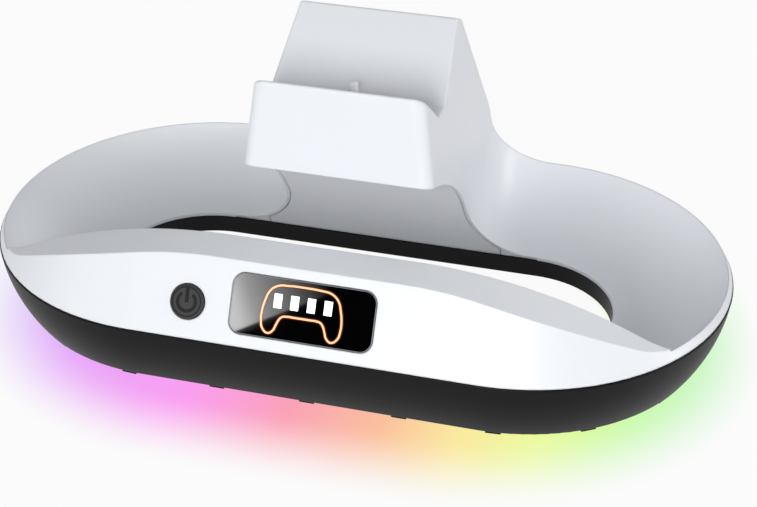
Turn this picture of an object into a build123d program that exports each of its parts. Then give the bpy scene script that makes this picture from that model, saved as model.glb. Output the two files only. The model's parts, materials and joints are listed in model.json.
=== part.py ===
from build123d import *
import os
from math import asin, cos, degrees, hypot, pi, radians, sin, sqrt, tan

os.makedirs("parts", exist_ok=True)

# Frame: X to the right, Y to the rear, Z up, origin on the floor under the middle of the base.
# A section is drawn with x as the distance from the base's centre line and y as the height.

# Base outline: two half circles joined by straight sides
half_straight = 40.0
headroom = 10.0
shoulder_radius = 50.0
parting_height = 18.5
fit_gap = 0.15

# Lower shell
floor_gap = 2.0
bowl_inset = 6.0
bowl_bulge = 1.1
base_wall = 2.0
bottom_edge_round = 1.2
shoulder_round = 0.5

# Upper shell: leaning outer wall, rim, dish and the slot through the middle
shoulder_step = 0.3
tongue_depth = 3.0
wall_lean = 28.8
rim_height = 20.5
dish_floor = 7.4
slot_radius = 22.6
slot_edge = 0.8
shell_wall = 2.2

# Front bar: its crest is flat in the middle and falls to the rim at both ends
crest_height = 35.3
crest_flat = 22.0
crest_arc = 112.0
crest_fall_end = 73.0
front_bar_depth = 19.3
bar_inner_lean = 9.0
bar_hollow_reach = 66.0

# Neck and cradle
neck_top = 72.6
neck_half_root = 23.3
neck_bend_start = 38.5
neck_side_arc = 25.0
neck_side_lean = 7.2
flare_radius = 15.0
flare_sweep = 90.0
flare_overlap = 1.5
hollow_sweep = 80.0
hollow_end = 36.0
root_turn_front = 52.0
root_turn_back = 90.0
chin_front = -19.0
chin_bottom = 47.0
chin_lean = 5.3
chin_round = 3.0
trough_floor = 58.7
trough_front = -6.3
trough_back = -0.9
trough_front_angle = 42.5
backrest_angle = 37.2
top_land = 3.0
top_land_angle = 24.0
trough_round = 1.2
backrest_round = 0.9
lip_round = 0.6

# Neck front panel: an arc from the chin to the slot
panel_mid = (10.0, 28.5)
panel_thickness = 2.0
panel_inset = 0.8
panel_seam = 0.15
panel_foot_half = 30.5
panel_corner = 2.5
ledge_width = 2.0
ledge_thickness = 1.2
ledge_grip = 0.5

# Display in the fascia, measured from the parting line up the slope
display_width = 33.4
display_foot = 2.8
display_head = 2.37
display_corner = 3.0
lens_gap = 0.1
icon_depth = 0.8
icon_line = 0.6
icon_half = 9.7
icon_head = 2.0
icon_foot = 1.6
icon_waist = 1.6
icon_shoulder = 7.6
icon_grip_bulge = 2.6
icon_grip_outer = 8.3
icon_grip_inner = 6.4
icon_waist_half = 4.9
icon_shoulder_round = 2.2
icon_grip_round = 0.8
icon_waist_round = 1.0
bar_count = 4
bar_pitch = 3.85
bar_width = 1.85
bar_margin = 1.1
bar_depth = 0.6
light_box_margin = 0.8
light_box_wall = 1.2

# Power button
button_x = -26.6
button_drop = 1.5
button_radius = 4.0
button_gap = 0.15
button_proud = 0.7
button_flange = 1.0
button_flange_thickness = 0.8
button_flange_gap = 0.1
button_travel = 0.5
switch_side = 6.0
switch_body = 2.4
switch_stem_radius = 1.7
switch_stem_engage = 0.2
button_round = 0.5

# Front board, parallel to the fascia
board_thickness = 1.2
front_board_depth = 7.0
front_board_half = 39.0
front_board_foot = 2.0
front_board_head = 3.17
board_boss_radius = 2.2
board_boss_x = 36.0
board_boss_foot = 4.0
board_boss_head = 7.17
chip_height = 0.9
chips = ((12.0, 9.0, 7.0), (-8.0, 9.0, 4.0), (-20.0, 6.0, 3.0), (24.0, 7.0, 5.0))

# Small screws for the boards
board_screw_radius = 0.8
board_screw_head = 1.7
board_screw_head_height = 1.1
board_screw_length = 5.0

# Case screws, driven from below
case_screw_radius = 1.3
case_screw_head = 2.3
case_screw_head_height = 1.8
case_screw_length = 12.0
case_boss_radius = 3.1
case_boss_joint = 12.0
case_boss_top = 22.0
case_web_foot = 16.5
bar_web_reach = 3.2
neck_web_reach = 4.6
drive_slot = 0.7
drive_width = 2.45
drive_depth = 0.9
case_seat = 8.0
case_pilot = 19.0
boss_web = 3.0
bar_boss_x = 20.0
boss_gap = 0.5
lead_boss_gap = 0.8
pilot_gap = 0.05

# Contacts in the cradle floor
contact_y = -3.6
carrier_corner = 1.0
barrel_floor = 52.3
pin_spring = 0.2
pin_tip_round = 0.4
pin_xs = (-6.9, -4.4, 4.4, 6.9)
pin_radius = 0.5
pin_tip = 60.4
pin_travel = 1.0
pin_gap = 0.05
barrel_radius = 0.85
carrier_half = 10.0
carrier_depth = 4.4
carrier_proud = 0.2
carrier_flange = 0.9
carrier_flange_thickness = 2.0
contact_board_half = 12.0
contact_board_depth = 9.0
contact_board_top = 51.2
peg_radius = 1.1
peg_top = 63.8
peg_socket = 2.5
peg_round = 0.6

# Power inlet at the rear
port_height = 12.2
port_width = 9.0
port_thick = 3.2
port_length = 7.4
port_wall = 0.35
port_tongue = 0.7
port_setback = 0.6
port_gap = 0.25
plug_recess_width = 13.0
plug_recess_height = 7.0
plug_recess_depth = 0.6
inlet_board_half = 11.0
inlet_board_clear = 2.9
inlet_board_gap = 0.5
port_back = 0.9
inlet_post_x = 8.0
inlet_post_inset = 3.5
inlet_post_radius = 2.5

# Underglow: windows in the bottom, a diffuser channel, a board with its lamps
light_inset = 3.9
window_width = 2.6
bridge_count = 20
bridge_width = 3.5
bridge_drop = 0.5
bridge_reach = 3.5
channel_width = 5.0
channel_wall = 1.0
channel_height = 3.4
strip_thickness = 0.6
lamp_length = 3.2
lamp_width = 2.4
lamp_height = 1.0

# Feet
foot_radius = 5.0
foot_recess = 0.6
foot_angle = 30.0
foot_gap = 0.5
foot_round = 0.5

# Leads
lead_radius = 1.0
lead_gap = 0.7
lead_height = 5.4
lead_x = 5.0
lead_high_y = 6.0
lead_high_z = 40.0
lead_low_y = 27.0
lead_low_z = 26.0
lead_foot_inset = 5.5
lead_dip_run = 8.0
lead_dip_end = 15.0
lead_dip_rise = 1.0
lead_climb = 7.0
lead_climb_shift = 0.5
front_lead_x = 33.0
front_lead_rise = 7.0

# Values worked out from the sizes above
bottom_radius = shoulder_radius - bowl_inset
wall_slope = tan(radians(wall_lean))
wall_foot = shoulder_radius - shoulder_step
rim_radius = wall_foot - wall_slope * (rim_height - parting_height)
plate_top = floor_gap + base_wall
slot_wall_top = dish_floor - slot_edge
dish_run = rim_radius - slot_radius
dish_rise = rim_height - dish_floor
dish_arc = (dish_run**2 + dish_rise**2) / (2 * dish_rise)
dish_axis = dish_floor + dish_arc
fascia_rise = (crest_height - parting_height) / cos(radians(wall_lean))
bar_inner_top = front_bar_depth - shoulder_radius
bar_inner_slope = tan(radians(bar_inner_lean))
display_height = fascia_rise - display_foot - display_head
display_rise = display_foot + display_height / 2
icon_top = display_height / 2 - icon_head
icon_drop = display_height / 2 - icon_foot
bar_height = icon_top + icon_waist - 2 * (icon_line + bar_margin)
bar_rise = (icon_top - icon_waist) / 2
button_rise = display_rise - button_drop
front_board_height = fascia_rise - front_board_foot - front_board_head
light_track = bottom_radius - light_inset
bridge_inner = light_track - window_width
bridge_outer = light_track + bridge_reach
foot_track = bridge_inner - foot_radius - foot_gap
lead_track = light_track - channel_width / 2 - lead_radius - lead_gap
bar_top = crest_height + headroom
model_top = neck_top + headroom
wide = 2.0 * (half_straight + shoulder_radius)

bowl_in = shoulder_radius - bottom_radius
bowl_up = parting_height - floor_gap
bowl_chord = hypot(bowl_in, bowl_up)
bowl_arc = (bowl_chord**2 / 4 + bowl_bulge**2) / (2 * bowl_bulge)
bowl_centre_r = (bottom_radius + shoulder_radius) / 2 - (bowl_arc - bowl_bulge) * bowl_up / bowl_chord
bowl_centre_z = (floor_gap + parting_height) / 2 + (bowl_arc - bowl_bulge) * bowl_in / bowl_chord


def bowl(height, inset=0.0):
    """Radius of the lower shell's side at a height."""
    return bowl_centre_r + sqrt((bowl_arc - inset) ** 2 - (height - bowl_centre_z) ** 2)


def wall(height, inset=0.0):
    """Radius of the upper shell's leaning wall at a height."""
    return wall_foot - wall_slope * (height - parting_height) - inset / cos(radians(wall_lean))


def dish(radius, inset=0.0):
    """Height of the dish, or of its underside, at a radius."""
    return dish_axis - sqrt((dish_arc + inset) ** 2 - (radius - slot_radius) ** 2)


def neck_half(height):
    """Half width of the neck at a height: upright at the root, then bent inwards to a steady lean."""
    lean = radians(neck_side_lean)
    bend_end = neck_bend_start + neck_side_arc * sin(lean)
    if height <= neck_bend_start:
        return neck_half_root
    if height <= bend_end:
        return neck_half_root - neck_side_arc + sqrt(neck_side_arc**2 - (height - neck_bend_start) ** 2)
    return neck_half_root - neck_side_arc * (1 - cos(lean)) - tan(lean) * (height - bend_end)


def chin(height, inset=0.0):
    """Y of the chin's front face at a height."""
    return chin_front + tan(radians(chin_lean)) * (height - chin_bottom) + inset


def racetrack(section, mode=Mode.ADD, rear=True):
    """Carry a half section round the base's racetrack, with or without its rear straight."""
    for side in (1, -1):
        centre = (side * half_straight, 0, 0)
        end = Plane(origin=centre, x_dir=(0, -side, 0), z_dir=(-side, 0, 0))
        revolve(end * section, axis=Axis(centre, (0, 0, 1)), revolution_arc=180, mode=mode)
        if side < 0 or rear:
            straight = Plane(origin=centre, x_dir=(0, side, 0), z_dir=(side, 0, 0))
            extrude(straight * section, amount=-2 * half_straight, mode=mode)


def track_locations(radius, height, count, phase=0.0):
    """Places evenly spaced along a racetrack: local X runs along it and local -Y points outwards."""
    half_turn = pi * radius
    whole = 4 * half_straight + 2 * half_turn
    places = []
    for index in range(count):
        run = (index + phase) * whole / count
        run = (run + half_straight) % whole
        if run < 2 * half_straight:
            place = (run - half_straight, -radius, 0.0)
        elif run < 2 * half_straight + half_turn:
            turn = (run - 2 * half_straight) / radius
            place = (half_straight + radius * sin(turn), -radius * cos(turn), degrees(turn))
        elif run < 4 * half_straight + half_turn:
            place = (3 * half_straight + half_turn - run, radius, 180.0)
        else:
            turn = pi + (run - 4 * half_straight - half_turn) / radius
            place = (-half_straight + radius * sin(turn), -radius * cos(turn), degrees(turn))
        places.append(Location((place[0], place[1], height), (0, 0, place[2])))
    return places


def mirrored(xs, y):
    """Points at each x and its mirror image."""
    return [(side * x, y) for x in xs for side in (1, -1)]


# Plane on the outside of the fascia: local X to the right, local Y up the slope, local Z outwards
fascia = Plane(
    origin=(0, -wall_foot, parting_height),
    x_dir=(1, 0, 0),
    z_dir=(0, -cos(radians(wall_lean)), sin(radians(wall_lean))),
)


def fascia_depth(depth):
    """Plane parallel to the fascia, a depth behind it."""
    return fascia.offset(-depth)


bar_inner_face = bar_inner_top + bar_inner_slope * (crest_height - case_boss_joint)
bar_boss_y = bar_inner_face - shell_wall / cos(radians(bar_inner_lean)) - case_boss_radius - boss_gap
neck_boss_x = neck_half_root - shell_wall - case_boss_radius - boss_gap
neck_boss_y = lead_track - lead_radius - lead_boss_gap - case_boss_radius
bar_boss_points = mirrored((bar_boss_x,), bar_boss_y)
neck_boss_points = mirrored((neck_boss_x,), neck_boss_y)
case_screw_points = bar_boss_points + neck_boss_points
board_boss_rises = (board_boss_foot, fascia_rise - board_boss_head)
front_boss_points = [(side * board_boss_x, rise) for side in (1, -1) for rise in board_boss_rises]
inlet_board_foot = port_height - port_thick / 2 - board_thickness
inlet_board_back = bowl(inlet_board_foot, base_wall) - inlet_board_gap
inlet_board_front = slot_radius + base_wall + inlet_board_clear
inlet_post_points = mirrored((inlet_post_x,), inlet_board_front + inlet_post_inset)
foot_points = [
    (
        across * (half_straight + foot_track * sin(radians(foot_angle))),
        along * foot_track * cos(radians(foot_angle)),
    )
    for across in (1, -1)
    for along in (1, -1)
]
port_mouth = bowl(port_height) - port_setback

# Panel arc in the Y-Z plane, through the chin, the middle point and the slot's rear edge
panel_curve = ThreePointArc((chin_front, chin_bottom), panel_mid, (slot_radius, dish_floor))
panel_centre = panel_curve.arc_center
panel_radius = panel_curve.radius

# Trough and backrest in the Y-Z plane
chin_slope = tan(radians(chin_lean))
trough_run = 1 / tan(radians(trough_front_angle))
lip_height = (trough_front - chin_front + chin_slope * chin_bottom + trough_run * trough_floor) / (
    chin_slope + trough_run
)
backrest_top = trough_back + (neck_top - trough_floor) / tan(radians(backrest_angle))
back_top = backrest_top + top_land
land_foot = neck_top - tan(radians(top_land_angle)) * top_land


def panel_y(height, depth=0.0):
    """Y of the panel arc at a height, or of the arc a depth behind it."""
    return panel_centre.X + sqrt((panel_radius + depth) ** 2 - (height - panel_centre.Y) ** 2)


def chin_foot(inset):
    """Where the chin's face meets the panel arc, in the Y-Z plane."""
    lean = radians(chin_lean)
    along = Vector(sin(lean), cos(lean))
    start = Vector(chin_front + inset / cos(lean), chin_bottom) - panel_centre
    half = start.dot(along)
    run = sqrt(half**2 - start.dot(start) + (panel_radius + inset) ** 2) - half
    return start + panel_centre + along * run


def inset_corner(before, corner, after, inset):
    """Corner of an anticlockwise outline, moved inwards by an even inset."""
    first = (Vector(after) - Vector(corner)).normalized()
    second = (Vector(corner) - Vector(before)).normalized()
    inwards = Vector(-first.Y - second.Y, first.X + second.X)
    return Vector(corner) + inwards * (inset / (1 + first.dot(second)))


# Lower shell: a tray with a bowed side, a bottom plate and the wall round the slot
mid_height = (floor_gap + parting_height) / 2
with BuildSketch() as tray_section:
    with BuildLine():
        Line((slot_radius, floor_gap), (bottom_radius, floor_gap))
        ThreePointArc(
            (bottom_radius, floor_gap), (bowl(mid_height), mid_height), (shoulder_radius, parting_height)
        )
        Line((shoulder_radius, parting_height), (bowl(parting_height, base_wall), parting_height))
        ThreePointArc(
            (bowl(parting_height, base_wall), parting_height),
            (bowl(mid_height, base_wall), mid_height),
            (bowl(plate_top, base_wall), plate_top),
        )
        Polyline(
            (bowl(plate_top, base_wall), plate_top),
            (slot_radius + base_wall, plate_top),
            (slot_radius + base_wall, slot_wall_top),
            (slot_radius, slot_wall_top),
            (slot_radius, floor_gap),
        )
    make_face()
    fillet(tray_section.vertices().group_by(Axis.Y)[0].sort_by(Axis.X)[-1], bottom_edge_round)
    fillet(tray_section.vertices().group_by(Axis.Y)[-1].sort_by(Axis.X)[-1], shoulder_round)

with BuildSketch() as window_section:
    with Locations((light_track, floor_gap + base_wall / 2)):
        Rectangle(window_width, 2 * base_wall)

with BuildPart() as lower_shell:
    racetrack(tray_section.sketch)
    racetrack(window_section.sketch, mode=Mode.SUBTRACT)
    with Locations(*track_locations(bridge_outer, floor_gap - bridge_drop, bridge_count)):
        Box(
            bridge_width,
            bridge_outer - bridge_inner,
            base_wall + bridge_drop,
            align=(Align.CENTER, Align.MIN, Align.MIN),
        )
    with Locations(*[(x, y, floor_gap) for x, y in case_screw_points]):
        Cylinder(
            case_boss_radius,
            case_boss_joint - floor_gap,
            align=(Align.CENTER, Align.CENTER, Align.MIN),
        )
    with Locations(*[(x, y, floor_gap) for x, y in inlet_post_points]):
        Cylinder(
            inlet_post_radius,
            inlet_board_foot - floor_gap,
            align=(Align.CENTER, Align.CENTER, Align.MIN),
        )
    with Locations(*[Location((x, y, floor_gap), (180, 0, 0)) for x, y in case_screw_points]):
        CounterBoreHole(
            case_screw_radius + fit_gap,
            case_screw_head + fit_gap,
            case_seat - floor_gap,
            case_boss_joint - floor_gap,
        )
    with Locations(*[(x, y, inlet_board_foot) for x, y in inlet_post_points]):
        Hole(board_screw_radius + pilot_gap, board_screw_length - board_thickness + pilot_gap)
    with Locations(*[(x, y, floor_gap) for x, y in foot_points]):
        Cylinder(
            foot_radius + fit_gap,
            foot_recess,
            align=(Align.CENTER, Align.CENTER, Align.MIN),
            mode=Mode.SUBTRACT,
        )
    with BuildSketch(Plane.XZ.offset(-shoulder_radius)):
        with Locations((0, port_height)):
            SlotOverall(port_width + 2 * port_gap, port_thick + 2 * port_gap)
    extrude(amount=2 * base_wall + shoulder_radius - bowl(port_height), mode=Mode.SUBTRACT)
    with BuildSketch(Plane.XZ.offset(-shoulder_radius)):
        with Locations((0, port_height)):
            RectangleRounded(plug_recess_width, plug_recess_height, plug_recess_height / 3)
    extrude(amount=shoulder_radius - bowl(port_height) + plug_recess_depth, mode=Mode.SUBTRACT)
lower_shell.part.label = "lower_shell"
export_step(lower_shell.part, "parts/lower_shell.step")


# Solids that the upper shell is made of, each full size (inset 0) or as the hollow inside it
def envelope(inset):
    """Everything inside the leaning outer wall."""
    with BuildSketch() as section:
        Polygon((0, 0), (wall(0, inset), 0), (wall(bar_top, inset), bar_top), (0, bar_top), align=None)
    with BuildPart() as body:
        racetrack(section.sketch)
    return body.part


def front_bar(inset):
    """The raised bar behind the fascia, with its falling crest."""
    turn = degrees(asin((crest_fall_end - crest_flat) / crest_arc))
    low = rim_height - inset
    with BuildPart() as body:
        with BuildSketch(Plane.XZ):
            with BuildLine():
                flat = Line((0, crest_height - inset), (crest_flat, crest_height - inset))
                fall = JernArc(flat @ 1, flat % 1, crest_arc, -turn)
                toe_radius = ((fall @ 1).Y - low) / (1 - cos(radians(turn)))
                toe = JernArc(fall @ 1, fall % 1, toe_radius, turn)
                Polyline(toe @ 1, (wide, low), (wide, 0), (0, 0), flat @ 0)
            make_face()
            mirror(about=Plane.YZ)
        extrude(amount=wide)
        add(envelope(inset), mode=Mode.INTERSECT)
        with BuildSketch(Plane.YZ):
            top = crest_height + shell_wall
            face = bar_inner_top - inset / cos(radians(bar_inner_lean))
            Polygon(
                (face - bar_inner_slope * shell_wall, top),
                (face + bar_inner_slope * crest_height, 0),
                (wide, 0),
                (wide, top),
                align=None,
            )
        extrude(amount=wide, both=True, mode=Mode.SUBTRACT)
    return body.part


def neck_profile(inset):
    """Side view of the neck in the Y-Z plane: panel arc, rear wall, backrest, trough, lip and chin.

    The outer view has a rounded trough and backrest; the hollow keeps plain corners.
    """
    outline = [
        (wall(0), 0),
        (rim_radius, rim_height),
        (back_top, land_foot),
        (backrest_top, neck_top),
        (trough_back, trough_floor),
        (trough_front, trough_floor),
        (chin(lip_height), lip_height),
        (chin_front, chin_bottom),
    ]
    corners = [inset_corner(*outline[index - 1 : index + 2], inset) for index in range(1, len(outline) - 1)]
    top, foot = chin_foot(inset), (panel_y(0, inset), 0)
    with BuildSketch() as profile:
        with BuildLine():
            ThreePointArc(top, (panel_y(panel_mid[1], inset), panel_mid[1]), foot)
            Polyline(foot, (wall(0, inset), 0), *corners, top)
        make_face()
        if inset == 0:
            fillet(profile.vertices().filter_by(lambda v: abs(v.Y - trough_floor) < fit_gap), trough_round)
            fillet(profile.vertices().sort_by(Axis.Y)[-1], backrest_round)
    return profile.sketch


def neck_front_view(inset):
    """Front view of the neck in the X-Z plane: upright sides that bend inwards."""
    with BuildSketch() as view:
        with BuildLine():
            foot = Line((neck_half_root - inset, 0), (neck_half_root - inset, neck_bend_start))
            bend = JernArc(foot @ 1, foot % 1, neck_side_arc - inset, neck_side_lean)
            top_half = neck_half(model_top) - inset / cos(radians(neck_side_lean))
            Polyline(bend @ 1, (top_half, model_top), (0, model_top), (0, 0), foot @ 0)
        make_face()
        mirror(about=Plane.YZ)
    return view.sketch


# The neck is flared into the dish behind the slot by a turn about the dish's own axis
dish_centre = Plane((0, slot_radius, dish_axis), x_dir=(1, 0, 0), z_dir=(0, 1, 0))
flare_top = dish_arc - flare_radius


def neck_solid(inset, sweep, end):
    """The neck and its flare, trimmed by the side view, full size or as the hollow inside it."""
    half = neck_half_root - inset
    with BuildPart() as body:
        with BuildSketch(dish_centre.rotated((-root_turn_front, 0, 0))):
            with BuildLine():
                stub = Line((0, flare_top - flare_overlap), (half, flare_top - flare_overlap))
                side = Line(stub @ 1, (half, flare_top))
                flare = JernArc(side @ 1, side % 1, flare_radius + inset, -sweep)
                edge = Line(flare @ 1, (end, (flare @ 1).Y))
                Polyline(edge @ 1, (end, 2 * dish_arc), (0, 2 * dish_arc), stub @ 0)
            make_face()
            mirror(about=Plane.YZ)
        revolve(axis=Axis(dish_centre.origin, (1, 0, 0)), revolution_arc=root_turn_front + root_turn_back)
        extrude(Plane.XZ.offset(-wall(0)) * neck_front_view(inset), amount=wall(0) - chin_front)
        extrude(Plane.YZ * neck_profile(inset), amount=half_straight, both=True, mode=Mode.INTERSECT)
    return body.part


with BuildSketch() as dish_section:
    with BuildLine():
        rim_mid = (slot_radius + rim_radius) / 2
        Polyline((slot_radius, dish_floor), (slot_radius, 0), (wall(0), 0), (rim_radius, rim_height))
        ThreePointArc((rim_radius, rim_height), (rim_mid, dish(rim_mid)), (slot_radius, dish_floor))
    make_face()

# Space under the dish, with the step that takes the lower shell's slot wall and its side
tongue_radius = bowl(parting_height - tongue_depth, base_wall) - fit_gap
rebate_radius = slot_radius + base_wall + fit_gap
with BuildSketch() as underside_section:
    with BuildLine():
        under_mid = (rebate_radius + tongue_radius) / 2
        Polyline(
            (rebate_radius, dish(rebate_radius, shell_wall)),
            (rebate_radius, slot_wall_top),
            (0, slot_wall_top),
            (0, -floor_gap),
            (wide, -floor_gap),
            (wide, parting_height),
            (tongue_radius, parting_height),
            (tongue_radius, dish(tongue_radius, shell_wall)),
        )
        ThreePointArc(
            (tongue_radius, dish(tongue_radius, shell_wall)),
            (under_mid, dish(under_mid, shell_wall)),
            (rebate_radius, dish(rebate_radius, shell_wall)),
        )
    make_face()


# Neck front panel: its outline from the front, and bands at given depths behind its curved face
def panel_outline(grow):
    """Panel outline in the X-Z plane, grown or shrunk by an even margin."""
    inset = panel_inset - grow
    bend = flare_radius + inset
    centre_x = neck_half_root + flare_radius
    centre_z = dish_floor + flare_radius
    foot_x = panel_foot_half + grow
    foot_z = centre_z - sqrt(bend**2 - (centre_x - foot_x) ** 2)
    foot_turn = degrees(asin((centre_z - foot_z) / bend))
    top = chin_bottom - inset
    with BuildSketch() as outline:
        with BuildLine():
            foot = Line((foot_x, slot_wall_top - max(-grow, 0)), (foot_x, foot_z))
            CenterArc((centre_x, centre_z), bend, 180, foot_turn)
            side = Line((centre_x - bend, centre_z), (centre_x - bend, neck_bend_start))
            lean = JernArc(side @ 1, side % 1, neck_side_arc - inset, neck_side_lean)
            top_half = (lean @ 1).X - tan(radians(neck_side_lean)) * (top - (lean @ 1).Y)
            Polyline(lean @ 1, (top_half, top), (0, top), (0, slot_wall_top - max(-grow, 0)), foot @ 0)
        make_face()
        fillet(outline.vertices().group_by(Axis.Y)[-1].sort_by(Axis.X)[-1], panel_corner + min(grow, 0) / 2)
        mirror(about=Plane.YZ)
    return outline.sketch


def panel_slab(outline, start, end):
    """The part of an outline that lies between two depths behind the panel's outer face."""
    with BuildPart() as slab:
        extrude(Plane.XZ.offset(-wall(0)) * outline, amount=wall(0) - chin_front + shell_wall)
        with BuildSketch(Plane.YZ):
            with Locations((panel_centre.X, panel_centre.Y)):
                Circle(panel_radius + end)
                Circle(panel_radius + start, mode=Mode.SUBTRACT)
        extrude(amount=wide, both=True, mode=Mode.INTERSECT)
    return slab.part


with BuildPart() as neck:
    add(neck_solid(0, flare_sweep, half_straight))
    chin_edges = neck.edges().filter_by(lambda e: e.center().Y < chin(lip_height))
    fillet(chin_edges.filter_by(lambda e: abs(e.center().X) > neck_half_root / 2), chin_round)
    # One round runs along the lip, down both ends of the trough and up the sides of the backrest
    lip_edge = neck.edges().filter_by(Axis.X).sort_by_distance((0, chin(lip_height), lip_height))[0]
    fillet(lip_edge, lip_round)

ledge_end = panel_thickness + ledge_thickness
with BuildPart() as upper_shell:
    racetrack(dish_section.sketch, rear=False)
    add(neck.part)
    add(front_bar(0))
    racetrack(underside_section.sketch, mode=Mode.SUBTRACT)
    with BuildPart(mode=Mode.PRIVATE) as bar_hollow:
        add(front_bar(shell_wall))
        Box(2 * bar_hollow_reach, 2 * wide, 2 * wide, mode=Mode.INTERSECT)
    add(bar_hollow.part, mode=Mode.SUBTRACT)
    add(neck_solid(shell_wall, hollow_sweep, hollow_end), mode=Mode.SUBTRACT)
    add(panel_slab(panel_outline(ledge_grip), panel_thickness, ledge_end))
    add(panel_slab(panel_outline(panel_seam), -shell_wall, panel_thickness), mode=Mode.SUBTRACT)
    add(panel_slab(panel_outline(-ledge_width), 0, ledge_end + shell_wall), mode=Mode.SUBTRACT)
    # Opening for the contact carrier
    with BuildSketch(Plane.XY.offset(trough_floor)):
        with Locations((0, contact_y)):
            RectangleRounded(2 * carrier_half, carrier_depth, carrier_corner)
    extrude(amount=2 * shell_wall, both=True, mode=Mode.SUBTRACT)
    # Display window and button hole
    with BuildSketch(fascia):
        with Locations((0, display_rise)):
            RectangleRounded(display_width, display_height, display_corner)
        with Locations((button_x, button_rise)):
            Circle(button_radius + button_gap)
    extrude(amount=-2 * shell_wall, mode=Mode.SUBTRACT)
    # Bosses for the front board
    with BuildSketch(fascia_depth(front_board_depth)):
        with Locations(*front_boss_points):
            Circle(board_boss_radius)
    extrude(amount=front_board_depth - shell_wall / 2)
    with BuildSketch(fascia_depth(front_board_depth)):
        with Locations(*front_boss_points):
            Circle(board_screw_radius + pilot_gap)
    extrude(amount=board_screw_length - board_thickness + pilot_gap, mode=Mode.SUBTRACT)
    # Columns for the case screws, each with a web to the wall beside it
    with BuildSketch(Plane.XY.offset(case_boss_joint)):
        with Locations(*case_screw_points):
            Circle(case_boss_radius)
    extrude(amount=case_boss_top - case_boss_joint)
    with BuildSketch(Plane.XY.offset(case_web_foot)):
        with Locations(*bar_boss_points):
            Rectangle(boss_web, bar_web_reach, align=(Align.CENTER, Align.MIN))
        for side in (1, -1):
            with Locations((side * neck_boss_x, neck_boss_y)):
                towards_wall = Align.MIN if side > 0 else Align.MAX
                Rectangle(neck_web_reach, boss_web, align=(towards_wall, Align.CENTER))
    extrude(amount=case_boss_top - case_web_foot)
    with BuildSketch(Plane.XY.offset(case_boss_joint)):
        with Locations(*case_screw_points):
            Circle(case_screw_radius + pilot_gap)
    extrude(amount=case_pilot - case_boss_joint, mode=Mode.SUBTRACT)
upper_shell.part.label = "upper_shell"
export_step(upper_shell.part, "parts/upper_shell.step")

with BuildPart() as neck_front_panel:
    add(panel_slab(panel_outline(0), 0, panel_thickness))
neck_front_panel.part.label = "neck_front_panel"
export_step(neck_front_panel.part, "parts/neck_front_panel.step")

# Contacts: a carrier in the cradle floor, sprung pins in barrels, a guide peg and the board below
pin_points = [(x, contact_y) for x in pin_xs]
carrier_top = trough_floor + carrier_proud
carrier_seat = trough_floor - shell_wall
carrier_foot = carrier_seat - carrier_flange_thickness
with BuildPart() as contact_carrier:
    with BuildSketch(Plane.XY.offset(carrier_foot)):
        with Locations((0, contact_y)):
            RectangleRounded(2 * carrier_half - 2 * fit_gap, carrier_depth - 2 * fit_gap, carrier_corner)
    extrude(amount=carrier_top - carrier_foot)
    with BuildSketch(Plane.XY.offset(carrier_foot)):
        with Locations((0, contact_y)):
            RectangleRounded(
                2 * (carrier_half + carrier_flange), carrier_depth + 2 * carrier_flange, carrier_corner
            )
    extrude(amount=carrier_flange_thickness)
    with BuildSketch(Plane.XY.offset(carrier_foot)):
        with Locations(*pin_points):
            Circle(barrel_radius)
    extrude(amount=carrier_top - carrier_foot, mode=Mode.SUBTRACT)
    with BuildSketch(Plane.XY.offset(carrier_top - peg_socket)):
        with Locations((0, contact_y)):
            Circle(peg_radius)
    extrude(amount=peg_socket, mode=Mode.SUBTRACT)
contact_carrier.part.label = "contact_carrier"
export_step(contact_carrier.part, "parts/contact_carrier.step")

with BuildPart() as contact_barrels:
    with BuildSketch(Plane.XY.offset(contact_board_top)):
        with Locations(*pin_points):
            Circle(barrel_radius)
    extrude(amount=carrier_top - contact_board_top)
    with BuildSketch(Plane.XY.offset(barrel_floor)):
        with Locations(*pin_points):
            Circle(pin_radius + pin_gap)
    extrude(amount=carrier_top - barrel_floor, mode=Mode.SUBTRACT)
contact_barrels.part.label = "contact_barrels"
export_step(contact_barrels.part, "parts/contact_barrels.step")

pin_foot = barrel_floor + pin_travel + pin_spring
for number, pin_x in enumerate(pin_xs, start=1):
    with BuildPart() as contact_pin:
        with Locations((pin_x, contact_y, pin_foot)):
            Cylinder(pin_radius, pin_tip - pin_foot, align=(Align.CENTER, Align.CENTER, Align.MIN))
        fillet(contact_pin.edges().group_by(Axis.Z)[-1], pin_tip_round)
    contact_pin.part.label = f"contact_pin_{number}"
    export_step(contact_pin.part, f"parts/contact_pin_{number}.step")

with BuildPart() as guide_peg:
    with Locations((0, contact_y, carrier_top - peg_socket)):
        Cylinder(
            peg_radius, peg_top - carrier_top + peg_socket, align=(Align.CENTER, Align.CENTER, Align.MIN)
        )
    fillet(guide_peg.edges().group_by(Axis.Z)[-1], peg_round)
guide_peg.part.label = "guide_peg"
export_step(guide_peg.part, "parts/guide_peg.step")

contact_board_foot = contact_board_top - board_thickness
with BuildPart() as contact_board:
    with Locations((0, contact_y, contact_board_foot)):
        Box(
            2 * contact_board_half,
            contact_board_depth,
            board_thickness,
            align=(Align.CENTER, Align.CENTER, Align.MIN),
        )
contact_board.part.label = "contact_board"
export_step(contact_board.part, "parts/contact_board.step")

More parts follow.
